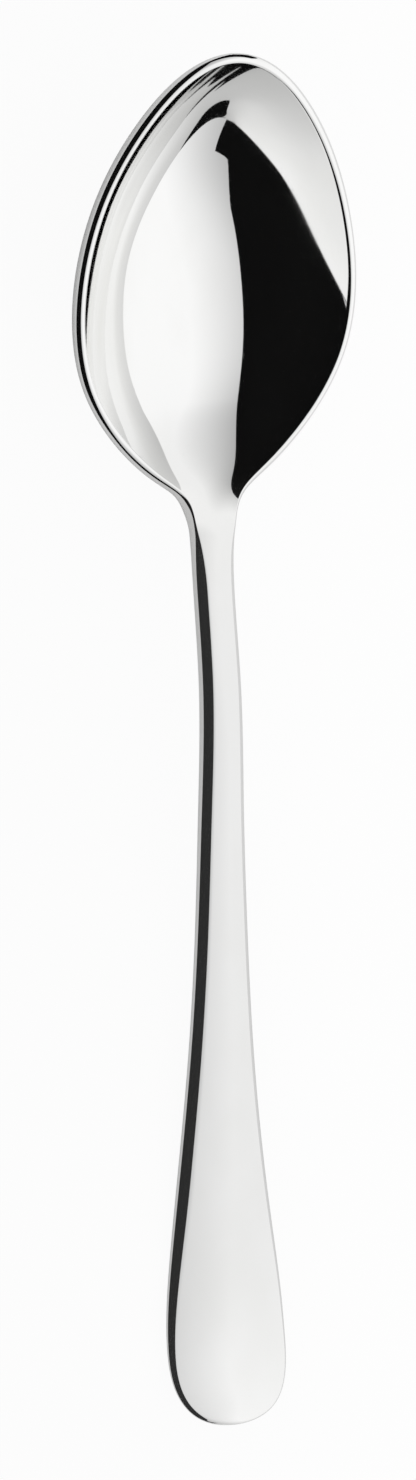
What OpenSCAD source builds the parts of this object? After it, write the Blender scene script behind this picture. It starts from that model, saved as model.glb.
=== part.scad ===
// Coffee spoon in polished stainless steel, lying on a table with its hollow up.
// The spoon is one sheet of metal with a rounded edge. Its outline, its height above
// the table, its thickness and its hollow are smooth curves along the length.
// +Y runs to the tip of the bowl, +Z is up, and the table is the plane z = 0.

/* [Overall] */
// Overall length, from the tip of the bowl to the end of the handle
spoon_length = 135; // [125:1:145]

/* [Bowl] */
// Length of the bowl, from its tip to the start of the neck
bowl_length = 44; // [42:0.5:47]
// Widest part of the bowl
bowl_width = 28.5; // [26:0.1:31]
// Depth of the hollow below the rim
bowl_depth = 9; // [8.4:0.1:9.6]
// Thickness of the bowl's wall
bowl_wall = 1.35; // [1.2:0.05:1.6]
// Rise of the rim from beside the deepest point to the tip
tip_rise = 5.55; // [4.6:0.05:6.4]
// Reach of the rounding at the rim's inner edge, seen from above
rim_corner = 0.15; // [0.1:0.05:0.5]

/* [Handle] */
// Narrowest width, at the neck
neck_width = 4; // [3.6:0.1:4.8]
// Thickness where the neck is heaviest
neck_thickness = 2.9; // [2.5:0.1:3.3]
// Widest part of the handle, near its end
grip_width = 12.3; // [10.5:0.1:13.5]
// Thickness of the handle near its end
grip_thickness = 1.9; // [1.7:0.1:2.2]
// Height of the rounded edge above its widest line
edge_round = 0.75; // [0.6:0.05:0.85]
// Height of the arch behind the neck, above the handle's lowest part
arch_rise = 5.95; // [5.2:0.05:6.6]
// Height that the end of the handle turns up
end_lift = 2.35; // [1:0.05:3.2]

/* [Resting faces] */
// Depth of the small flats that the bowl and the handle rest on
rest_flat = 0.12; // [0.08:0.01:0.2]

/* [Facets] */
// Facets across each face of the sheet, an even number
columns = 24; // [16:4:28]

/* [Hidden] */

steel = [0.80, 0.80, 0.79];

tip_y = spoon_length / 2;
end_y = -tip_y;
neck_y = tip_y - bowl_length;
handle_length = spoon_length - bowl_length;
bowl_r = bowl_width / 2;
neck_r = neck_width / 2;
grip_r = grip_width / 2;

// Section planes between the named parts of the spoon
bowl_cut_y = neck_y - 2.5;
neck_cut_y = neck_y - 0.25 * handle_length;
stem_cut_y = neck_y - 0.65 * handle_length;

// The handle's upper face is domed by this share of its half width
crown = 0.1;
// Towards the handle's end its upper edge thins by this share
end_taper = 0.65;
// and its dome grows by this share
end_dome = 0.6;
// between these two distances from the end
end_from = 25.5;
end_to = 1.5;
// The rounding at the edge reaches this many times its height into the sheet
edge_reach = 2.2;
// and stays within this share of the half width
edge_share = 0.85;
// The handle's edge turns into the rim between these two distances behind the bowl
rim_from = 8;
rim_to = -0.5;
// At the very edge of the bowl the sheet's slopes count only by this share,
// so that the narrow face of the rim leans outwards
rim_lean = 0.5;
// Share of the full fall that the hollow reaches at its deepest
deepest = 0.952;
full_fall = bowl_depth / deepest;

// Control points of the half outline, [half width, y], from the tip to the handle's end
outline = [
    [0, tip_y],
    [0.25 * bowl_r, tip_y],
    [0.675 * bowl_r, tip_y - 0.135 * bowl_length],
    [bowl_r, tip_y - 0.395 * bowl_length],
    [1.035 * bowl_r, tip_y - 0.71 * bowl_length],
    [0.43 * bowl_r, tip_y - 0.938 * bowl_length],
    [1.2 * neck_r, tip_y - 0.968 * bowl_length],
    [0.94 * neck_r, neck_y - 0.065 * handle_length],
    [1.03 * neck_r, neck_y - 0.225 * handle_length],
    [1.22 * neck_r, neck_y - 0.415 * handle_length],
    [0.535 * grip_r, neck_y - 0.61 * handle_length],
    [0.86 * grip_r, neck_y - 0.80 * handle_length],
    [1.06 * grip_r, neck_y - 0.905 * handle_length],
    [0.96 * grip_r, end_y],
    [0, end_y]
];

// Height of the sheet's middle at its edge, at even stations from the handle's end to the tip
grip_low = grip_thickness - edge_round - rest_flat;
rim_low = bowl_depth + bowl_wall - edge_round - rest_flat - 0.23;
edge_height = [
    grip_low + end_lift,
    grip_low + 0.1,
    grip_low - 0.12,
    grip_low + 0.51,
    grip_low + 0.3 * arch_rise,
    grip_low + 0.533 * arch_rise,
    grip_low + 0.714 * arch_rise,
    grip_low + arch_rise,
    rim_low - 4,
    rim_low - 1.93,
    rim_low,
    rim_low + 0.286 * tip_rise,
    rim_low + 0.804 * tip_rise,
    rim_low + tip_rise
];

// Thickness of the sheet, at even stations from the handle's end to the tip
thickness = [
    0.82 * grip_thickness,
    0.95 * grip_thickness,
    grip_thickness,
    1.05 * grip_thickness,
    0.78 * neck_thickness,
    0.94 * neck_thickness,
    neck_thickness,
    1.3 * bowl_wall,
    bowl_wall,
    bowl_wall,
    bowl_wall
];

// How far the hollow opens along the middle of the bowl, from the heel to the tip
heel_y = neck_y - 2.65;
hollow = [0, 0, 0.15, 0.43, 0.69, 0.98, 0.965, 0.81, 0.47, 0];
// Power of the hollow's cross-section from the heel to the tip:
// 2 is a parabola, more is fuller at the floor
hollow_power = [4.45, 4.6, 1.85, 1.6];

// Over this length behind the bowl its wall turns into the solid neck
blend_start_y = neck_y - 2;
blend_length = 11;

// Rows of facets along each part
bowl_rows = 42;
neck_rows = 14;
stem_rows = 12;
grip_rows = 24;

// Steps for slopes along the outline and along the length, and for finding a station
outline_step = 0.0001;
length_step = 0.01;
search_steps = 44;

// Cubic spline that starts at the first control value and ends at the last one
function spline_knot(i, count) = max(0, min(i - 3, count - 3));

function spline_level(c, i, level, x) =
    level == 0 ? c[i] :
    let (
        a = spline_knot(i, len(c)),
        b = spline_knot(i + 4 - level, len(c)),
        f = (x - a) / (b - a)
    )
    (1 - f) * spline_level(c, i - 1, level - 1, x) + f * spline_level(c, i, level - 1, x);

function spline(c, t) =
    let (
        x = max(0, min(1, t)) * (len(c) - 3),
        span = min(floor(x), len(c) - 4)
    )
    spline_level(c, span + 3, 3, x);

// Value of a list of stations that runs evenly from start to the tip of the bowl
function along(c, start, y) = spline(c, (y - start) / (tip_y - start));

function along_slope(c, start, y) =
    let (
        a = max(y - length_step, start),
        b = min(y + length_step, tip_y)
    )
    b > a ? (along(c, start, b) - along(c, start, a)) / (b - a) : 0;

// Smooth step from 0 to 1
function smooth_step(x) =
    let (u = max(0, min(1, x)))
    u * u * (3 - 2 * u);

// 0 on the handle and 1 in the bowl, with a smooth change over the heel
function bowl_share(y) = smooth_step((y - blend_start_y) / blend_length);

// 0 on the handle and 1 from the neck to the tip, where the upper edge has the rim's rounding
function rim_share(y) = smooth_step((y - neck_y + rim_from) / (rim_from - rim_to));

// 1 at the handle's end and 0 elsewhere, with a smooth change over its broad part
function end_share(y) = smooth_step((end_y + end_from - y) / (end_from - end_to));

// Place on the half outline, from 0 at the tip to 1 at the handle's end, for a given y
function station(y, low = 0, high = 1, steps = search_steps) =
    let (middle = (low + high) / 2)
    steps == 0 ? middle :
    spline(outline, middle).y > y ? station(y, middle, high, steps - 1) :
    station(y, low, middle, steps - 1);

// Rise of the rounded edge, a quarter of an ellipse, from 0 at the edge to 1 at the reach
function edge_rise(inward) = sqrt(inward * (2 - inward));

// One closed ring of points round the spoon at a place on the outline:
// the upper face from left to right, then the lower face back from right to left
function ring(t) =
    let (
        here = spline(outline, t),
        step = spline(outline, t + outline_step) - spline(outline, t - outline_step),
        y = here.y,
        w = here.x,
        w_slope = step.x / step.y,
        height = along(edge_height, end_y, y),
        height_slope = along_slope(edge_height, end_y, y),
        deep = along(hollow, heel_y, y),
        deep_slope = along_slope(hollow, heel_y, y),
        in_bowl = bowl_share(y),
        at_rim = rim_share(y),
        at_end = end_share(y),
        power = along(hollow_power, heel_y, y) / 2,
        above = edge_round * (1 - end_taper * at_end),
        below = along(thickness, end_y, y) - edge_round,
        domed = crown * (1 + end_dome * at_end) * (1 - in_bowl)
    )
    [
        for (k = [0 : 2 * columns - 1])
            let (
                on_top = k <= columns,
                s = -cos(180 * (on_top ? k : 2 * columns - k) / columns),
                x = s * w,
                rho2 = 1 - (1 - s * s) * deep,
                z = height - full_fall * (1 - pow(rho2, power)),
                steepness = full_fall * power * pow(rho2, power - 1),
                slope_x = steepness * 2 * s * deep / w,
                slope_y = height_slope
                    - steepness * ((1 - s * s) * deep_slope + 2 * s * s * deep * w_slope / w),
                half = on_top ? above : below,
                handle_reach = min(edge_reach * half, edge_share * w),
                rim_reach = on_top ? min(rim_corner, edge_share * w) : handle_reach,
                reach = handle_reach + (rim_reach - handle_reach) * at_rim,
                distance = (w * w - x * x) / (2 * norm([w * w_slope, x])),
                inward = min(1, distance / reach),
                lean = 1 - (1 - rim_lean) * (1 - inward) * in_bowl,
                normal = [-slope_x * lean, -slope_y * lean * in_bowl, 1],
                dome = on_top ? domed * w * (1 - s * s) : 0,
                lift = half * edge_rise(inward) + dome
            )
            [x, y, z] + (on_top ? lift : -lift) * normal / norm(normal)
    ];

// Single point where the rings close, at the tip or at the handle's end
function pole(y) = [0, y, along(edge_height, end_y, y)];

// Triangles between two neighbouring rings, mirrored about the middle of the spoon
function band_faces(first) =
    let (n = 2 * columns)
    [
        for (j = [0 : n - 1])
            let (
                a = first + j,
                b = first + (j + 1) % n,
                c = a + n,
                d = b + n,
                left = j % columns < columns / 2
            )
            each (left ? [[a, b, d], [a, d, c]] : [[a, b, c], [b, d, c]])
    ];

// Triangles of the flat end on a ring, as a strip between its upper and its lower points
function cap_faces(first) =
    [
        for (j = [0 : columns - 1])
            let (
                a = first + j,
                b = first + j + 1,
                c = first + (2 * columns - j - 1) % (2 * columns),
                d = first + (2 * columns - j) % (2 * columns)
            )
            each concat(
                j < columns - 1 ? [[a, b, c]] : [],
                j > 0 ? [[a, c, d]] : []
            )
    ];

function turned(faces) = [for (f = faces) [f[2], f[1], f[0]]];

function fan_front(first, point) =
    [for (j = [0 : 2 * columns - 1]) [point, first + (j + 1) % (2 * columns), first + j]];

function fan_back(first, point) =
    [for (j = [0 : 2 * columns - 1]) [first + j, first + (j + 1) % (2 * columns), point]];

// Length of spoon between two places on the outline; an end at 0 or 1 closes in a point
module length_of_spoon(from, to, rows) {
    open_front = from > 0;
    open_back = to < 1;
    steps = [for (i = [0 : rows]) from + (to - from) * i / rows];
    rings = [for (t = steps) if (t > 0 && t < 1) ring(t)];
    last = (len(rings) - 1) * 2 * columns;
    count = len(rings) * 2 * columns;
    points = concat(
        [for (r = rings) each r],
        open_front ? [] : [pole(tip_y)],
        open_back ? [] : [pole(end_y)]
    );
    faces = concat(
        [for (i = [0 : len(rings) - 2]) each band_faces(i * 2 * columns)],
        open_front ? turned(cap_faces(0)) : fan_front(0, count),
        open_back ? cap_faces(last) : fan_back(last, count)
    );
    polyhedron(points, faces, convexity = 4);
}

// Everything below the table is taken off, which leaves a small flat to rest on
module rested() {
    difference() {
        children();
        translate([-bowl_width, -spoon_length, -bowl_width])
            cube([2 * bowl_width, 2 * spoon_length, bowl_width]);
    }
}

// Hollow that holds the coffee or sugar, with its rim and its heel
module bowl() {
    color(steel)
        rested()
            length_of_spoon(0, station(bowl_cut_y), bowl_rows);
}

// Narrow, heavy part that carries the bowl
module neck() {
    color(steel)
        length_of_spoon(station(bowl_cut_y), station(neck_cut_y), neck_rows);
}

// Slim arched part of the handle
module stem() {
    color(steel)
        length_of_spoon(station(neck_cut_y), station(stem_cut_y), stem_rows);
}

// Broad end of the handle, held between finger and thumb
module grip() {
    color(steel)
        rested()
            length_of_spoon(station(stem_cut_y), 1, grip_rows);
}

bowl();
neck();
stem();
grip();
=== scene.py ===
"""Polished steel coffee spoon, lying with its hollow up, and the plain studio that it is shown in.

The spoon is one sheet of steel with a rounded edge. Its outline, its height above the table, its
thickness and its hollow are smooth curves along its length, so the whole spoon is one surface.
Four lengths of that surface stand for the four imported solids.
"""

import math

import bpy
import numpy as np
from bpy.props import FloatProperty, FloatVectorProperty, PointerProperty
from mathutils import Matrix, Vector


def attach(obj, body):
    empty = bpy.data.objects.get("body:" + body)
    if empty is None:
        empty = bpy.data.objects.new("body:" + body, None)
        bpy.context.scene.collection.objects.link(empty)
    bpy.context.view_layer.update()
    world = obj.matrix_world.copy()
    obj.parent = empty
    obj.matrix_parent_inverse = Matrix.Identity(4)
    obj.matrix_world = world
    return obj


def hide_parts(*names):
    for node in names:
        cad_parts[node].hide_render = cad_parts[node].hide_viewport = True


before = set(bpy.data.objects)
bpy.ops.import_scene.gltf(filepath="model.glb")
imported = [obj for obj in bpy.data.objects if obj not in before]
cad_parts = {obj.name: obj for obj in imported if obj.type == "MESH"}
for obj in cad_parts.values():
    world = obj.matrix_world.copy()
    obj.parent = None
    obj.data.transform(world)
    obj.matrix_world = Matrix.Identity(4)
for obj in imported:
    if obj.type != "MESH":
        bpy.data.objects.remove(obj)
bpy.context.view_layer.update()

bl_info = {
    "name": "Coffee Spoon",
    "version": (1, 0, 0),
    "blender": (4, 5, 0),
    "location": "View3D > Sidebar > Coffee Spoon",
    "description": "Builds a polished steel coffee spoon and the studio that it is shown in",
    "category": "Add Mesh",
}

MM = 0.001
BODY = "root"
STEEL_NAME = "polished_steel"

# Facets across each face of the sheet, and rows of facets along each piece
COLUMNS = 120
ROWS = {"bowl": 260, "neck": 70, "stem": 70, "grip": 130}

# The handle's upper face is domed by this share of its half width
CROWN = 0.1
# The rounding at the edge reaches this many times its height into the sheet,
# and stays within this share of the half width
EDGE_REACH = 2.2
EDGE_SHARE = 0.85
# Towards the handle's end its upper edge thins by the first share and its dome grows by the second,
# between two distances from the end
END_TAPER = 0.65
END_DOME = 0.6
END_FROM = 25.5 * MM
END_TO = 1.5 * MM
# The handle's edge turns into the rim between these two distances behind the bowl
RIM_FROM = 8 * MM
RIM_TO = -0.5 * MM
# At the very edge of the bowl the sheet's slopes count only by this share,
# so that the narrow face of the rim leans outwards
RIM_LEAN = 0.5
# Power of the hollow's cross-section from the heel to the tip:
# 2 is a parabola, more is fuller at the floor
POWERS = (4.45, 4.6, 1.85, 1.6)
# Share of the full fall that the hollow reaches at its deepest
DEEPEST = 0.952
# The hollow starts this far behind the bowl's end
HEEL_RUN = 2.65 * MM
# The rim beside the deepest point is set down by this much, so that the bowl's floor reaches the table
RIM_SETTLE = 0.23 * MM
# The bowl's wall turns into the solid neck from this far behind the bowl's end, over this length
BLEND_START = 2 * MM
BLEND_LENGTH = 11 * MM
# Where the pieces meet: a distance behind the bowl's end, then two shares of the handle's length
BOWL_CUT = 2.5 * MM
NECK_CUT = 0.25
STEM_CUT = 0.65

# Steps for slopes along the outline and along the length, and places in the outline's table
OUTLINE_STEP = 1e-4
LENGTH_STEP = 0.01 * MM
OUTLINE_PLACES = 20001

# Sizes of the marks on the steel, across, along and up the spoon
FILM_CELL = (9 * MM, 16 * MM, 9 * MM)
LINE_CELL = (0.35 * MM, 22 * MM, 0.35 * MM)
FINE_CELL = (0.16 * MM, 7 * MM, 0.16 * MM)
STROKE_CELLS = ((0.22 * MM, 9 * MM, 0.22 * MM), (0.2 * MM, 8 * MM, 0.2 * MM))
GRIT_CELL = (0.5 * MM, 0.5 * MM, 0.5 * MM)
# Turns of the finest lines and of the two sets of strokes away from the spoon's length
FINE_TURN = math.radians(4)
STROKE_TURNS = (math.radians(27), math.radians(-38))
# Levels of the noise between which a mark fades in
FILM_LEVELS = (0.42, 0.72)
STROKE_LEVELS = ((0.76, 0.82), (0.77, 0.83))
GRIT_LEVELS = (0.35, 0.65)
# Roughness that the lines add, wear of a stroke, and depths of the finest lines and of the strokes
# as shares of the depth of the lines
LINE_ROUGHNESS = 0.012
STROKE_WEAR = 0.35
FINE_DEPTH = 0.35
STROKE_DEPTH = 0.6
# Heights above the table between which the scuffs of resting fade out
SCUFF_HEIGHTS = (0.02 * MM, 0.25 * MM)
# Places along the spoon between which the handle's film fades out,
# and between which the painted shade on the handle's colour fades in and then out
FILM_END = (18 * MM, 27 * MM)
PAINTED_SHADE_START = (-75 * MM, -48 * MM)
PAINTED_SHADE_END = (5 * MM, 42 * MM)

# Half of the floor's side, its mottle's size and strength, and the places across the spoon
# between which the painted shade on the floor's colour begins, on the dark screen's side
FLOOR_REACH = 4.0
MOTTLE_CELL = (0.2, 0.2, 0.2)
MOTTLE = 0.05
FLOOR_SHADE_BAND = (-20 * MM, 20 * MM)
# Light that the black cloth gives back, and plain white
CLOTH = (0.004, 0.004, 0.004, 1.0)
WHITE = (1.0, 1.0, 1.0, 1.0)
# Points of the dark screen along its edge and down to the floor,
# and the change of heading over which its edge falls to its sill
SCREEN_POINTS = (145, 33)
SILL_RUN = math.radians(9.0)
# The room is fully bright from this sine of the angle to the dark screen's edge
BRIGHT_FROM = 0.95
# Sines of the angles along the spoon at the glowing band's faded edge, middle and other faded edge
GLOW_BAND = (-1.4, 0.05, 0.75)
# Sines of the angles along the spoon between which the room grows dim beyond the tip
TIP_SHADE_BAND = (0.2, 0.6)

# The photograph's frame: its size, its scale at the spoon, and where the spoon's origin lies in it
PHOTO_SIZE = (416, 1480)
PHOTO_SCALE = 10.571 / MM
ORIGIN_PIXEL = (195.4, 735.8)
SENSOR = 36.0

# Sockets of the mixing node that take and give a colour
COLOUR_A, COLOUR_B, COLOUR_RESULT = 6, 7, 2


def length(name, description, default):
    """A property that holds a length in metres."""
    return FloatProperty(
        name=name, description=description, default=default, min=0.0, precision=5, unit="LENGTH"
    )


def angle(name, description, degrees):
    """A property that holds an angle, given in degrees."""
    return FloatProperty(
        name=name, description=description, default=math.radians(degrees), subtype="ANGLE"
    )


def share(name, description, default):
    """A property that holds a share from 0 to 1."""
    return FloatProperty(
        name=name, description=description, default=default, min=0.0, max=1.0, subtype="FACTOR"
    )


def colour(name, description, default):
    """A property that holds a colour."""
    return FloatVectorProperty(
        name=name, description=description, default=default, min=0.0, max=1.0, size=3, subtype="COLOR"
    )


class SpoonSizes(bpy.types.PropertyGroup):
    """Sizes of the spoon, the same as the solids have."""

    spoon_length: length("Spoon length", "From the tip of the bowl to the end of the handle", 135 * MM)
    bowl_length: length("Bowl length", "From the tip of the bowl to the start of the neck", 44 * MM)
    bowl_width: length("Bowl width", "Widest part of the bowl", 28.5 * MM)
    bowl_depth: length("Bowl depth", "Depth of the hollow below the rim", 9 * MM)
    bowl_wall: length("Bowl wall", "Thickness of the bowl's wall", 1.35 * MM)
    tip_rise: length("Tip rise", "Rise of the rim from beside the deepest point to the tip", 5.55 * MM)
    rim_corner: length("Rim corner", "Reach of the rounding at the rim's inner edge", 0.15 * MM)
    neck_width: length("Neck width", "Narrowest width, at the neck", 4 * MM)
    neck_thickness: length("Neck thickness", "Thickness where the neck is heaviest", 2.9 * MM)
    grip_width: length("Grip width", "Widest part of the handle, near its end", 12.3 * MM)
    grip_thickness: length("Grip thickness", "Thickness of the handle near its end", 1.9 * MM)
    edge_round: length("Edge rounding", "Height of the rounded edge above its widest line", 0.75 * MM)
    arch_rise: length("Arch rise", "Height of the arch behind the neck", 5.95 * MM)
    end_lift: length("End lift", "Height that the end of the handle turns up", 2.35 * MM)
    rest_flat: length("Rest flat", "Depth of the small flats that the spoon rests on", 0.12 * MM)


class SteelFinish(bpy.types.PropertyGroup):
    """Colour and polish of the steel."""

    steel: colour("Steel", "Colour of the polished steel", (0.95, 0.95, 0.945))
    haze_tint: colour("Haze tint", "Colour where a faint film dulls the polish", (0.92, 0.92, 0.91))
    polish: share("Polish", "Roughness of the clean polish", 0.025)
    haze: share("Haze", "Roughness that the faint film adds", 0.02)
    film: share("Film", "Share of the light that the dulled handle scatters", 0.03)
    # Painted shade: how much darker the steel's colour is made along the handle, for darker reflections
    # there
    painted_shade: share("Dulled", "Share of the light that the steel loses where fingers hold it", 0.12)
    wear: share("Wear", "Roughness of fine scratches and of the places that it rests on", 0.12)
    line_depth: length("Line depth", "Depth of the polishing lines", 0.00004 * MM)


class StudioSettings(bpy.types.PropertyGroup):
    """Floor, light and camera of the studio."""

    floor: colour("Floor", "Colour of the floor", (0.8, 0.8, 0.8))
    # Painted shade: the floor's colour is made darker on the dark screen's side, as if in that screen's
    # shade
    floor_shade: share("Floor shade", "Share of its colour that the floor has by the dark screen", 0.77)
    floor_white: share("Floor white", "Share of plain white that the camera sees in the floor", 0.94)
    room_light: share("Room light", "Strength of the light from the whole room on matt surfaces", 0.95)
    dim_side: share("Dim side", "Brightness of the room beside the dark screen, seen in the steel", 0.49)
    glow: share("Glow", "Brightness that a band across the room adds, seen in the steel", 0.2)
    tip_shade: share("Tip shade", "Brightness that the room loses beyond the tip, seen in the steel", 0.06)
    screen_gap: angle("Screen gap", "Angle from straight up to the nearest point of its edge", 16.0)
    screen_heading: angle("Screen heading", "Heading of the screen's middle, from +X", 177.0)
    screen_wall: angle("Screen wall", "Angle from straight up to the top of the screen's tip end", 62.0)
    screen_back: angle("Screen back", "Heading of its end on the tip's side, from +X", 38.0)
    screen_step: angle("Screen step", "Heading from which its edge falls to a sill, from +X", 248.0)
    screen_front: angle("Screen front", "Heading of its end on the handle's side, from +X", 267.0)
    screen_sill: angle("Screen sill", "Angle from straight up to the top of that sill", 69.0)
    screen_radius: length("Screen radius", "Radius of the dark screen", 0.9)
    camera_distance: length("Camera distance", "From the camera to the middle of the spoon", 0.9)
    camera_lean: angle("Camera lean", "Angle of the camera to the left of straight above", 23.806)
    camera_rise: angle("Camera rise", "Angle of the camera towards the tip", 14.293)
    camera_roll: angle("Camera roll", "Turn of the picture about the line of sight", -2.422)


# Curves


def spline(controls, t):
    """Cubic B-spline by de Boor's rule, clamped to its first and last control value.

    The knots are whole numbers. At each of three levels, neighbouring values are mixed by the
    share of the knot span that lies before the place.
    """
    controls = np.asarray(controls, float)
    last = len(controls) - 3
    x = np.clip(t, 0.0, 1.0) * last
    span = np.minimum(np.floor(x).astype(int), last - 1)
    mixed = [controls[span + i] for i in range(4)]
    for level in (1, 2, 3):
        for i in range(3, level - 1, -1):
            before = np.clip(span + i - 3, 0, last)
            after = np.clip(span + i + 1 - level, 0, last)
            part = (x - before) / (after - before)
            mixed[i] = (1 - part) * mixed[i - 1] + part * mixed[i]
    return mixed[3]


def smooth_step(x):
    """0 below 0, 1 above 1, and 3x^2 - 2x^3 between."""
    x = np.clip(x, 0.0, 1.0)
    return x * x * (3 - 2 * x)


class SpoonForm:
    """The spoon's curves along its length, worked out from its sizes."""

    def __init__(self, sizes):
        self.sizes = sizes
        bowl_length = sizes.bowl_length
        handle_length = sizes.spoon_length - bowl_length
        bowl_r = sizes.bowl_width / 2
        neck_r = sizes.neck_width / 2
        grip_r = sizes.grip_width / 2
        self.tip_y = sizes.spoon_length / 2
        self.end_y = -self.tip_y
        self.neck_y = self.tip_y - bowl_length
        self.heel_y = self.neck_y - HEEL_RUN
        self.cuts_y = {
            "bowl": self.neck_y - BOWL_CUT,
            "neck": self.neck_y - NECK_CUT * handle_length,
            "stem": self.neck_y - STEM_CUT * handle_length,
        }
        # Half outline from the tip to the handle's end: half widths, then shares of the two lengths
        self.half_widths = (
            0, 0.25 * bowl_r, 0.675 * bowl_r, bowl_r, 1.035 * bowl_r, 0.43 * bowl_r,
            1.2 * neck_r, 0.94 * neck_r, 1.03 * neck_r, 1.22 * neck_r,
            0.535 * grip_r, 0.86 * grip_r, 1.06 * grip_r, 0.96 * grip_r, 0,
        )
        bowl_shares = np.array((0, 0, 0.135, 0.395, 0.71, 0.938, 0.968))
        handle_shares = np.array((0.065, 0.225, 0.415, 0.61, 0.80, 0.905, 1, 1))
        self.places_y = np.concatenate(
            (self.tip_y - bowl_shares * bowl_length, self.neck_y - handle_shares * handle_length)
        )
        # Height of the sheet's middle at its edge, at even stations from the handle's end to the tip
        grip_low = sizes.grip_thickness - sizes.edge_round - sizes.rest_flat
        rim_low = sizes.bowl_depth + sizes.bowl_wall - sizes.edge_round - sizes.rest_flat - RIM_SETTLE
        grip_rises = np.array((sizes.end_lift, 0.1 * MM, -0.12 * MM, 0.51 * MM))
        arch_shares = np.array((0.3, 0.533, 0.714, 1))
        heel_rises = np.array((-4 * MM, -1.93 * MM))
        tip_shares = np.array((0, 0.286, 0.804, 1))
        self.edge_heights = np.concatenate((
            grip_low + grip_rises,
            grip_low + arch_shares * sizes.arch_rise,
            rim_low + heel_rises,
            rim_low + tip_shares * sizes.tip_rise,
        ))
        # Thickness of the sheet, at even stations from the handle's end to the tip
        self.thicknesses = np.concatenate((
            np.array((0.82, 0.95, 1, 1.05)) * sizes.grip_thickness,
            np.array((0.78, 0.94, 1)) * sizes.neck_thickness,
            np.array((1.3, 1, 1, 1)) * sizes.bowl_wall,
        ))
        # How far the hollow opens along the middle of the bowl, from the heel to the tip
        self.hollows = (0, 0, 0.15, 0.43, 0.69, 0.98, 0.965, 0.81, 0.47, 0)

    def along(self, controls, start, y):
        """Value and slope at y of a curve whose stations run evenly from start to the tip."""
        run = self.tip_y - start

        def value(place):
            return spline(controls, (place - start) / run)

        before = np.maximum(y - LENGTH_STEP, start)
        after = np.minimum(y + LENGTH_STEP, self.tip_y)
        gap = after - before
        slope = np.where(gap > 0, (value(after) - value(before)) / np.where(gap > 0, gap, 1), 0)
        return value(y), slope

    def place_at(self, y):
        """Place on the half outline, from 0 at the tip to 1 at the handle's end, for a given y."""
        places = np.linspace(0, 1, OUTLINE_PLACES)
        return float(np.interp(-y, -spline(self.places_y, places), places))

    def in_bowl(self, y):
        """0 on the handle and 1 in the bowl, with a smooth change over the heel."""
        return smooth_step((y - self.neck_y + BLEND_START) / BLEND_LENGTH)

    def at_rim(self, y):
        """0 on the handle and 1 round the bowl, where the upper edge has the rim's small rounding."""
        return smooth_step((y - self.neck_y + RIM_FROM) / (RIM_FROM - RIM_TO))

    def at_end(self, y):
        """1 at the handle's end and 0 elsewhere, with a smooth change over its broad part."""
        return smooth_step((self.end_y + END_FROM - y) / (END_FROM - END_TO))

    def rings(self, t):
        """One closed ring of points round the spoon at each place on the outline.

        Across a ring, s runs as a cosine from the left edge over the upper face to the right edge,
        and back under the lower face. The middle of the sheet lies at x = s * half width and sinks
        below its edge by fall * (1 - r^n), where r^2 = 1 - (1 - s^2) * hollow and n falls from the heel
        to the tip. Both faces lie off it along the sheet's normal and close in at the edge as a quarter
        of an ellipse each, and the handle's upper face has a dome of 1 - s^2 on top. The upper quarter
        reaches far into the handle but little into the rim, whose face leans outwards because the
        normal keeps only a share of the sheet's slopes there. Towards the handle's end that quarter
        is lower and the dome higher.
        """
        sizes = self.sizes
        t = t[:, None]
        w = spline(self.half_widths, t)
        y = spline(self.places_y, t)
        w_step = spline(self.half_widths, t + OUTLINE_STEP) - spline(self.half_widths, t - OUTLINE_STEP)
        y_step = spline(self.places_y, t + OUTLINE_STEP) - spline(self.places_y, t - OUTLINE_STEP)
        w_slope = w_step / y_step
        height, height_slope = self.along(self.edge_heights, self.end_y, y)
        deep, deep_slope = self.along(self.hollows, self.heel_y, np.maximum(y, self.heel_y))
        thickness = self.along(self.thicknesses, self.end_y, y)[0]
        in_bowl = self.in_bowl(y)

        turn = np.arange(2 * COLUMNS)[None, :]
        on_top = turn <= COLUMNS
        s = -np.cos(math.pi * turn / COLUMNS)
        x = s * w
        r2 = 1 - (1 - s * s) * deep
        towards_tip = (y - self.heel_y) / (self.tip_y - self.heel_y)
        power = spline(POWERS, towards_tip) / 2
        full_fall = sizes.bowl_depth / DEEPEST
        z = height - full_fall * (1 - r2 ** power)
        steepness = full_fall * power * r2 ** (power - 1)
        slope_x = steepness * 2 * s * deep / w
        slope_y = height_slope - steepness * ((1 - s * s) * deep_slope + 2 * s * s * deep * w_slope / w)

        at_end = self.at_end(y)
        upper = sizes.edge_round * (1 - END_TAPER * at_end)
        half = np.where(on_top, upper, thickness - sizes.edge_round)
        handle_reach = np.minimum(EDGE_REACH * half, EDGE_SHARE * w)
        rim_reach = np.minimum(sizes.rim_corner, EDGE_SHARE * w)
        reach = handle_reach + (rim_reach - handle_reach) * self.at_rim(y) * on_top
        distance = (w * w - x * x) / (2 * np.hypot(w * w_slope, x))
        inward = np.minimum(1, distance / reach)
        nose = np.sqrt(inward * (2 - inward))
        lean = 1 - (1 - RIM_LEAN) * (1 - inward) * in_bowl
        normal = np.stack(np.broadcast_arrays(-slope_x * lean, -slope_y * lean * in_bowl, 1.0), axis=-1)
        normal /= np.linalg.norm(normal, axis=-1, keepdims=True)
        dome = CROWN * (1 + END_DOME * at_end) * w * (1 - s * s) * (1 - in_bowl)
        lift = np.where(on_top, half * nose + dome, -half * nose)
        middle = np.stack(np.broadcast_arrays(x, y, z), axis=-1)
        return middle + lift[..., None] * normal

    def pole(self, y):
        """Single point where the rings close, at the tip or at the handle's end."""
        return np.array((0.0, y, float(self.along(self.edge_heights, self.end_y, np.array(y))[0])))


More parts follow.
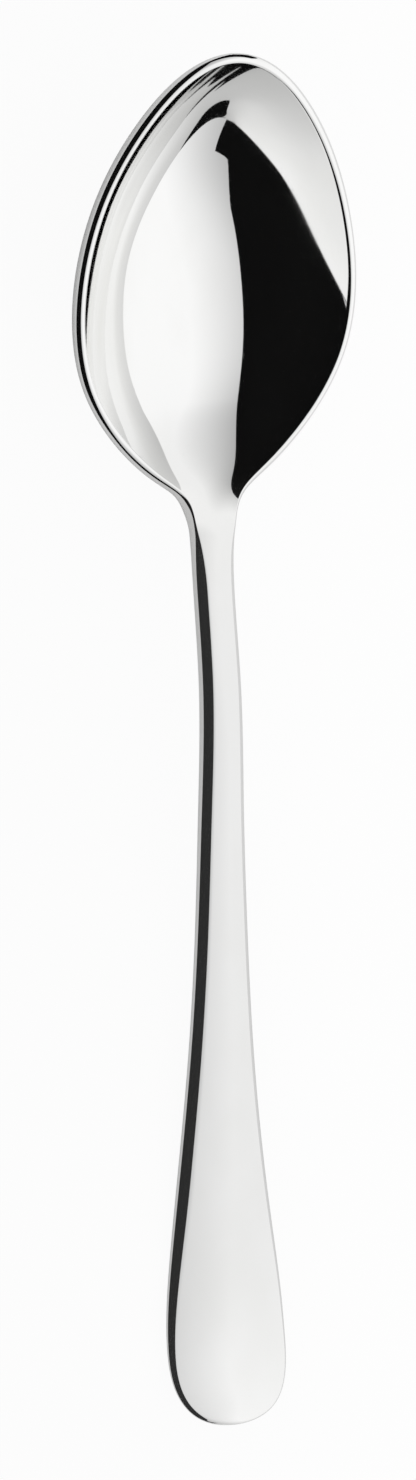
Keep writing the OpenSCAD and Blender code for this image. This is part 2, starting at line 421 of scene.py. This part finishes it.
class SpoonSurface:
    """The whole spoon as rings of points and normals, with the rows that each piece takes."""

    def __init__(self, sizes):
        form = SpoonForm(sizes)
        marks = [0.0] + [form.place_at(y) for y in form.cuts_y.values()] + [1.0]
        spans = [np.linspace(a, b, rows + 1) for a, b, rows in zip(marks, marks[1:], ROWS.values())]
        t = np.concatenate([span[1:] for span in spans])[:-1]
        ends = np.cumsum(list(ROWS.values()))
        starts = np.concatenate(([0], ends[:-1] - 1))
        self.rows = {name: slice(a, b) for name, a, b in zip(ROWS, starts, ends)}
        self.rings = form.rings(t)
        self.tip = form.pole(form.tip_y)
        self.end = form.pole(form.end_y)
        self.normals = self.ring_normals(t)
        below = self.rings[..., 2] < 0
        self.rings[..., 2] = np.maximum(self.rings[..., 2], 0)
        self.normals[below] = (0, 0, -1)

    def ring_normals(self, t):
        """Cross product of the steps round a ring and along the spoon, over the whole surface."""
        around = np.roll(self.rings, -1, axis=1) - np.roll(self.rings, 1, axis=1)
        towards_end = np.gradient(self.rings, t, axis=0, edge_order=2)
        normals = np.cross(towards_end, around)
        return normals / np.linalg.norm(normals, axis=-1, keepdims=True)


def band_faces(rows):
    """Quads between neighbouring rings, as an array of four corners each."""
    n = 2 * COLUMNS
    first = (np.arange(rows - 1) * n)[:, None]
    here = np.arange(n)[None, :]
    beside = (here + 1) % n
    corners = (first + here, first + here + n, first + beside + n, first + beside)
    return np.stack(np.broadcast_arrays(*corners), axis=-1).reshape(-1, 4)


def cap_faces(first):
    """Faces of the flat section at a ring, as a strip between its upper and its lower points."""
    n = 2 * COLUMNS
    upper = np.arange(COLUMNS)
    strip = np.stack((upper, upper + 1, n - upper - 1, (n - upper) % n), axis=1) + first
    return [strip[0, :3].tolist()] + strip[1:-1].tolist() + [strip[-1, [0, 1, 3]].tolist()]


def fan_faces(first, point):
    """Triangles from a single point to every edge of a ring."""
    n = 2 * COLUMNS
    here = np.arange(n)
    return np.stack((first + here, first + (here + 1) % n, np.full(n, point)), axis=1).tolist()


def turned(faces):
    """The same faces seen from their other side."""
    return [face[::-1] for face in faces]


def add_piece(name, surface, material):
    """Adds one length of the spoon as a closed mesh that stands for the solid of the same name."""
    rows = surface.rows[name]
    rings = surface.rings[rows]
    points = rings.reshape(-1, 3)
    normals = surface.normals[rows].reshape(-1, 3)
    n = 2 * COLUMNS
    last = (len(rings) - 1) * n
    faces = band_faces(len(rings)).tolist()
    poles = []
    caps = []
    if name == "bowl":
        poles.append((surface.tip, normals[:n].mean(axis=0)))
        faces += fan_faces(0, len(points))
    else:
        caps.append((turned(cap_faces(0)), (0, 1, 0)))
    if name == "grip":
        poles.append((surface.end, normals[-n:].mean(axis=0)))
        faces += turned(fan_faces(last, len(points)))
    else:
        caps.append((cap_faces(last), (0, -1, 0)))
    smooth = len(faces)
    for cap, _direction in caps:
        faces += cap
    for point, normal in poles:
        points = np.vstack((points, point))
        normals = np.vstack((normals, normal / np.linalg.norm(normal)))

    mesh = bpy.data.meshes.new(name)
    mesh.from_pydata(points.tolist(), [], faces)
    if mesh.validate():
        raise RuntimeError(f"{name}: the surface has bad faces")
    is_smooth = np.arange(len(faces)) < smooth
    mesh.polygons.foreach_set("use_smooth", is_smooth)
    corner_points = np.empty(len(mesh.loops), int)
    mesh.loops.foreach_get("vertex_index", corner_points)
    corner_normals = normals[corner_points]
    corner = sum(len(face) for face in faces[:smooth])
    for cap, direction in caps:
        count = sum(len(face) for face in cap)
        corner_normals[corner:corner + count] = direction
        corner += count
    mesh.normals_split_custom_set(corner_normals.tolist())
    mesh.materials.append(material)

    piece = bpy.data.objects.new(f"spoon_{name}", mesh)
    bpy.context.scene.collection.objects.link(piece)
    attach(piece, BODY)
    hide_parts(name)


# Materials


class Wire:
    """An output socket in a shader's tree; arithmetic on it adds Math nodes."""

    def __init__(self, tree, socket=None):
        self.tree = tree
        self.socket = socket

    def node(self, kind, settings=None, inputs=None, output=0):
        """Adds a node of a type, makes its settings, then gives its sockets values or links."""
        made = self.tree.nodes.new(kind)
        for name, value in (settings or {}).items():
            setattr(made, name, value)
        for name, value in (inputs or {}).items():
            if isinstance(value, Wire):
                self.tree.links.new(value.socket, made.inputs[name])
            else:
                made.inputs[name].default_value = value
        return Wire(self.tree, made.outputs[output] if made.outputs else None)

    def math(self, operation, first, second):
        return self.node("ShaderNodeMath", {"operation": operation}, {0: first, 1: second})

    def __add__(self, other):
        return self.math("ADD", self, other)

    def __radd__(self, other):
        return self.math("ADD", other, self)

    def __sub__(self, other):
        return self.math("SUBTRACT", self, other)

    def __rsub__(self, other):
        return self.math("SUBTRACT", other, self)

    def __mul__(self, other):
        return self.math("MULTIPLY", self, other)

    def __rmul__(self, other):
        return self.math("MULTIPLY", other, self)

    def at_most(self, other):
        return self.math("MINIMUM", self, other)

    def beside(self, output):
        """Another output of the same node."""
        return Wire(self.tree, self.socket.node.outputs[output])

    def ramp(self, low, high):
        """0 where this is at low, 1 where it is at high, with a smooth change between."""
        return self.node(
            "ShaderNodeMapRange",
            {"interpolation_type": "SMOOTHSTEP"},
            {"Value": self, "From Min": low, "From Max": high},
        )


def new_tree(owner):
    """An empty shader tree on a material or a world."""
    owner.use_nodes = True
    owner.node_tree.nodes.clear()
    return Wire(owner.node_tree)


def stretched_noise(tree, place, cell, turn=0.0, detail=2.0):
    """Noise from 0 to 1 whose cells have the given size in metres along each axis."""
    scales = [1 / size for size in cell]
    mapped = tree.node(
        "ShaderNodeMapping", {"vector_type": "POINT"},
        {"Vector": place, "Rotation": (0, 0, turn), "Scale": scales},
    )
    return tree.node("ShaderNodeTexNoise", {}, {"Vector": mapped, "Scale": 1.0, "Detail": detail})


def mixed_colour(tree, factor, first, second, blend="MIX"):
    """The first colour where the factor is 0; where it is 1, the second one or both multiplied."""
    return tree.node(
        "ShaderNodeMix", {"data_type": "RGBA", "blend_type": blend},
        {"Factor": factor, COLOUR_A: first, COLOUR_B: second}, output=COLOUR_RESULT,
    )


def polished_steel(finish):
    """Mirror-polished steel with fine lines along the spoon, crossing strokes and a faint film.

    It scatters a little light on the handle, has painted shade that darkens its colour along the
    handle and fades out towards the handle's end and into the bowl, and has scuffs where it
    rests on the table.
    """
    material = bpy.data.materials.new(STEEL_NAME)
    tree = new_tree(material)
    place = tree.node("ShaderNodeTexCoord", output="Object")
    along = tree.node("ShaderNodeSeparateXYZ", {}, {0: place}, output="Y")
    above = along.beside("Z")

    film = stretched_noise(tree, place, FILM_CELL, detail=4.0).ramp(*FILM_LEVELS)
    lines = stretched_noise(tree, place, LINE_CELL, detail=3.0)
    fine = stretched_noise(tree, place, FINE_CELL, FINE_TURN, detail=1.0)
    stroke_a, stroke_b = (
        stretched_noise(tree, place, cell, turn, detail=0.0).ramp(*levels)
        for cell, turn, levels in zip(STROKE_CELLS, STROKE_TURNS, STROKE_LEVELS)
    )
    strokes = (stroke_a + stroke_b).at_most(1.0)
    grit = stretched_noise(tree, place, GRIT_CELL, detail=3.0)
    scuffs = (1 - above.ramp(*SCUFF_HEIGHTS)) * grit.ramp(*GRIT_LEVELS)

    wear = (STROKE_WEAR * strokes + scuffs).at_most(1.0)
    roughness = finish.polish + finish.haze * film + LINE_ROUGHNESS * lines + finish.wear * wear
    metallic = 1 - finish.film * (1 - along.ramp(*FILM_END))
    # Painted shade: the steel's colour is darkened along the handle, which darkens its reflections there
    painted_shade_mask = along.ramp(*PAINTED_SHADE_START) * (1 - along.ramp(*PAINTED_SHADE_END))
    kept = 1 - finish.painted_shade
    clean = mixed_colour(tree, film, (*finish.steel, 1.0), (*finish.haze_tint, 1.0))
    tint = mixed_colour(tree, painted_shade_mask, clean, (kept, kept, kept, 1.0), "MULTIPLY")
    height = lines + FINE_DEPTH * fine - STROKE_DEPTH * strokes
    bump = tree.node(
        "ShaderNodeBump", {}, {"Strength": 1.0, "Distance": finish.line_depth, "Height": height}
    )
    shader = tree.node(
        "ShaderNodeBsdfPrincipled", {},
        {"Base Color": tint, "Metallic": metallic, "Roughness": roughness, "Normal": bump},
    )
    tree.node("ShaderNodeOutputMaterial", {}, {"Surface": shader})
    return material


def pale_floor(studio):
    """Matt pale floor with a very slight mottle, and with painted shade that darkens its colour
    on the dark screen's side.

    The camera sees it mostly as plain white, with what is left of the spoon's shadow.
    """
    material = bpy.data.materials.new("pale_floor")
    tree = new_tree(material)
    place = tree.node("ShaderNodeTexCoord", output="Object")
    aside = tree.node("ShaderNodeSeparateXYZ", {}, {0: place}, output="X")
    mottle = stretched_noise(tree, place, MOTTLE_CELL, detail=3.0)
    # Painted shade: the floor's colour darkens on the dark screen's side, and the mottle adds a slight
    # random tone
    shade = (1 - aside.ramp(*FLOOR_SHADE_BAND)) + MOTTLE * mottle
    floor_painted_shade_colour = [studio.floor_shade * level for level in studio.floor]
    tint = mixed_colour(tree, shade, (*studio.floor, 1.0), (*floor_painted_shade_colour, 1.0))
    matt = tree.node("ShaderNodeBsdfDiffuse", {}, {"Color": tint})
    white = tree.node("ShaderNodeEmission", {}, {"Color": WHITE, "Strength": 1.0})
    seen = tree.node("ShaderNodeLightPath", output="Is Camera Ray") * studio.floor_white
    shader = tree.node("ShaderNodeMixShader", {}, {0: seen, 1: matt, 2: white})
    tree.node("ShaderNodeOutputMaterial", {}, {"Surface": shader})
    return material


def dark_cloth():
    """Black studio cloth that gives back almost no light."""
    material = bpy.data.materials.new("dark_cloth")
    tree = new_tree(material)
    shader = tree.node("ShaderNodeEmission", {}, {"Color": CLOTH, "Strength": 1.0})
    tree.node("ShaderNodeOutputMaterial", {}, {"Surface": shader})
    return material


# Studio


def add_grid(name, points, material):
    """Adds an open surface from a grid of points, with one quad between each four neighbours."""
    rows, columns = points.shape[:2]
    index = np.arange(rows * columns).reshape(rows, columns)
    corners = (index[:-1, :-1], index[1:, :-1], index[1:, 1:], index[:-1, 1:])
    faces = np.stack(corners, axis=-1).reshape(-1, 4)
    mesh = bpy.data.meshes.new(name)
    mesh.from_pydata(points.reshape(-1, 3).tolist(), [], faces.tolist())
    mesh.polygons.foreach_set("use_smooth", np.ones(len(faces), bool))
    mesh.materials.append(material)
    made = bpy.data.objects.new(name, mesh)
    bpy.context.scene.collection.objects.link(made)
    return made


def add_floor(studio):
    """Flat square floor under the spoon."""
    ends = (-FLOOR_REACH, FLOOR_REACH)
    x, y = np.meshgrid(ends, ends)
    add_grid("floor", np.stack((x, y, 0 * x), axis=-1), pale_floor(studio))


def add_dark_screen(studio):
    """Part of a dome on the left, which leaves the room open on the right.

    Its straight upper edge passes overhead at a gap from straight up. In the direction az, the edge
    lies at tan(gap) / cos(az - heading) as the tangent of its angle from straight up, and towards
    the tip nowhere lower than a low wall. At its end towards the handle it falls smoothly to a
    sill. The dome runs from that edge down to the floor.
    """
    along, down = (np.linspace(0, 1, count) for count in SCREEN_POINTS)
    az = (studio.screen_back + (studio.screen_front - studio.screen_back) * along)[:, None]
    overhead = np.arctan2(math.tan(studio.screen_gap), np.cos(az - studio.screen_heading))
    edge = np.where(az < studio.screen_heading, np.minimum(overhead, studio.screen_wall), overhead)
    edge += (studio.screen_sill - edge) * smooth_step((az - studio.screen_step) / SILL_RUN)
    tilt = edge + (math.pi / 2 - edge) * down[None, :]
    x = studio.screen_radius * np.sin(tilt) * np.cos(az)
    y = studio.screen_radius * np.sin(tilt) * np.sin(az)
    z = studio.screen_radius * np.cos(tilt)
    screen = add_grid("dark_screen", np.stack((x, y, z), axis=-1), dark_cloth())
    screen.visible_camera = False
    screen.visible_diffuse = False
    screen.visible_shadow = False


def light_room(studio):
    """White room: plain white to the camera, with its light and dark sides only in reflections.

    In the steel it is dim beside the dark screen and grows bright away from it. A soft band from
    side to side adds a glow, and the part beyond the tip is a little dimmer.
    """
    world = bpy.data.worlds.new("white_room")
    bpy.context.scene.world = world
    tree = new_tree(world)
    camera = tree.node("ShaderNodeLightPath", output="Is Camera Ray")
    glossy = camera.beside("Is Glossy Ray")
    through = camera.beside("Is Transmission Ray")
    seen = (camera + glossy + through).at_most(1.0)
    direction = tree.node("ShaderNodeTexCoord", output="Generated")
    gap, heading = studio.screen_gap, studio.screen_heading
    away = (-math.cos(heading) * math.cos(gap), -math.sin(heading) * math.cos(gap), math.sin(gap))
    beside = tree.node(
        "ShaderNodeVectorMath", {"operation": "DOT_PRODUCT"}, {0: direction, 1: away}, output="Value"
    )
    along = tree.node("ShaderNodeSeparateXYZ", {}, {0: direction}, output="Y")
    front, middle, back = GLOW_BAND
    glow = studio.glow * along.ramp(front, middle) * (1 - along.ramp(middle, back))
    bright = (studio.dim_side + (1 - studio.dim_side) / BRIGHT_FROM * beside + glow).at_most(1.0)
    dimmed = bright * (1 - studio.tip_shade * along.ramp(*TIP_SHADE_BAND))
    mirrored = glossy * dimmed + (1 - glossy)
    level = seen * mirrored + (1 - seen) * studio.room_light
    shader = tree.node("ShaderNodeBackground", {}, {"Color": WHITE, "Strength": level})
    tree.node("ShaderNodeOutputWorld", {}, {"Surface": shader})


def add_camera(studio):
    """Camera above and to the left of the spoon, with the photograph's framing."""
    lean, rise, roll = studio.camera_lean, studio.camera_rise, studio.camera_roll
    back = Vector((
        -math.sin(lean) * math.cos(rise), math.sin(rise), math.cos(lean) * math.cos(rise)
    ))
    right = Vector((math.cos(lean), 0, math.sin(lean)))
    up = back.cross(right)
    right, up = (
        right * math.cos(roll) + up * math.sin(roll),
        up * math.cos(roll) - right * math.sin(roll),
    )
    aside = (PHOTO_SIZE[0] / 2 - ORIGIN_PIXEL[0]) / PHOTO_SCALE
    above = (ORIGIN_PIXEL[1] - PHOTO_SIZE[1] / 2) / PHOTO_SCALE
    data = bpy.data.cameras.new("camera")
    data.sensor_width = SENSOR
    data.lens = SENSOR * PHOTO_SCALE * studio.camera_distance / PHOTO_SIZE[1]
    camera = bpy.data.objects.new("camera", data)
    bpy.context.scene.collection.objects.link(camera)
    turn = Matrix((right, up, back)).transposed().to_4x4()
    place = back * studio.camera_distance + right * aside + up * above
    camera.matrix_world = Matrix.Translation(place) @ turn
    bpy.context.scene.camera = camera


# Operators, panel and registration


class PieceOperator:
    """What the operators of the pieces share: the piece that a class names, in the one steel."""

    def execute(self, context):
        surface = SpoonSurface(context.scene.spoon_sizes)
        steel = bpy.data.materials.get(STEEL_NAME)
        add_piece(self.piece, surface, steel or polished_steel(context.scene.steel_finish))
        return {"FINISHED"}


class SPOON_OT_bowl(PieceOperator, bpy.types.Operator):
    """Build the hollow with its rim, tip and heel"""

    bl_idname = "spoon.bowl"
    bl_label = "Bowl"
    piece = "bowl"


class SPOON_OT_neck(PieceOperator, bpy.types.Operator):
    """Build the narrow, heavy part that carries the bowl"""

    bl_idname = "spoon.neck"
    bl_label = "Neck"
    piece = "neck"


class SPOON_OT_stem(PieceOperator, bpy.types.Operator):
    """Build the slim arched part of the handle"""

    bl_idname = "spoon.stem"
    bl_label = "Stem"
    piece = "stem"


class SPOON_OT_grip(PieceOperator, bpy.types.Operator):
    """Build the broad end of the handle"""

    bl_idname = "spoon.grip"
    bl_label = "Grip"
    piece = "grip"


class SPOON_OT_studio(bpy.types.Operator):
    """Set up the floor, the dark screen, the white room and the camera"""

    bl_idname = "spoon.studio"
    bl_label = "Studio"

    def execute(self, context):
        studio = context.scene.studio_settings
        add_floor(studio)
        add_dark_screen(studio)
        light_room(studio)
        add_camera(studio)
        context.scene.view_settings.view_transform = "Standard"
        return {"FINISHED"}


class SPOON_PT_panel(bpy.types.Panel):
    """Lists the spoon's pieces and their settings"""

    bl_idname = "SPOON_PT_panel"
    bl_label = "Coffee Spoon"
    bl_space_type = "VIEW_3D"
    bl_region_type = "UI"
    bl_category = "Coffee Spoon"

    def draw(self, context):
        layout = self.layout
        for operator in OPERATORS:
            layout.operator(operator.bl_idname)
        for name in SETTINGS:
            box = layout.box()
            group = getattr(context.scene, name)
            for field in group.bl_rna.properties:
                if field.identifier not in ("rna_type", "name"):
                    box.prop(group, field.identifier)


OPERATORS = (SPOON_OT_studio, SPOON_OT_bowl, SPOON_OT_neck, SPOON_OT_stem, SPOON_OT_grip)
SETTINGS = {"spoon_sizes": SpoonSizes, "steel_finish": SteelFinish, "studio_settings": StudioSettings}


def register():
    for group in SETTINGS.values():
        bpy.utils.register_class(group)
    for name, group in SETTINGS.items():
        setattr(bpy.types.Scene, name, PointerProperty(type=group))
    for operator in OPERATORS:
        bpy.utils.register_class(operator)
    bpy.utils.register_class(SPOON_PT_panel)


def unregister():
    bpy.utils.unregister_class(SPOON_PT_panel)
    for operator in reversed(OPERATORS):
        bpy.utils.unregister_class(operator)
    for name in SETTINGS:
        delattr(bpy.types.Scene, name)
    for group in reversed(SETTINGS.values()):
        bpy.utils.unregister_class(group)


def main():
    register()
    bpy.ops.spoon.studio()
    bpy.ops.spoon.bowl()
    bpy.ops.spoon.neck()
    bpy.ops.spoon.stem()
    bpy.ops.spoon.grip()


if __name__ == "__main__":
    main()
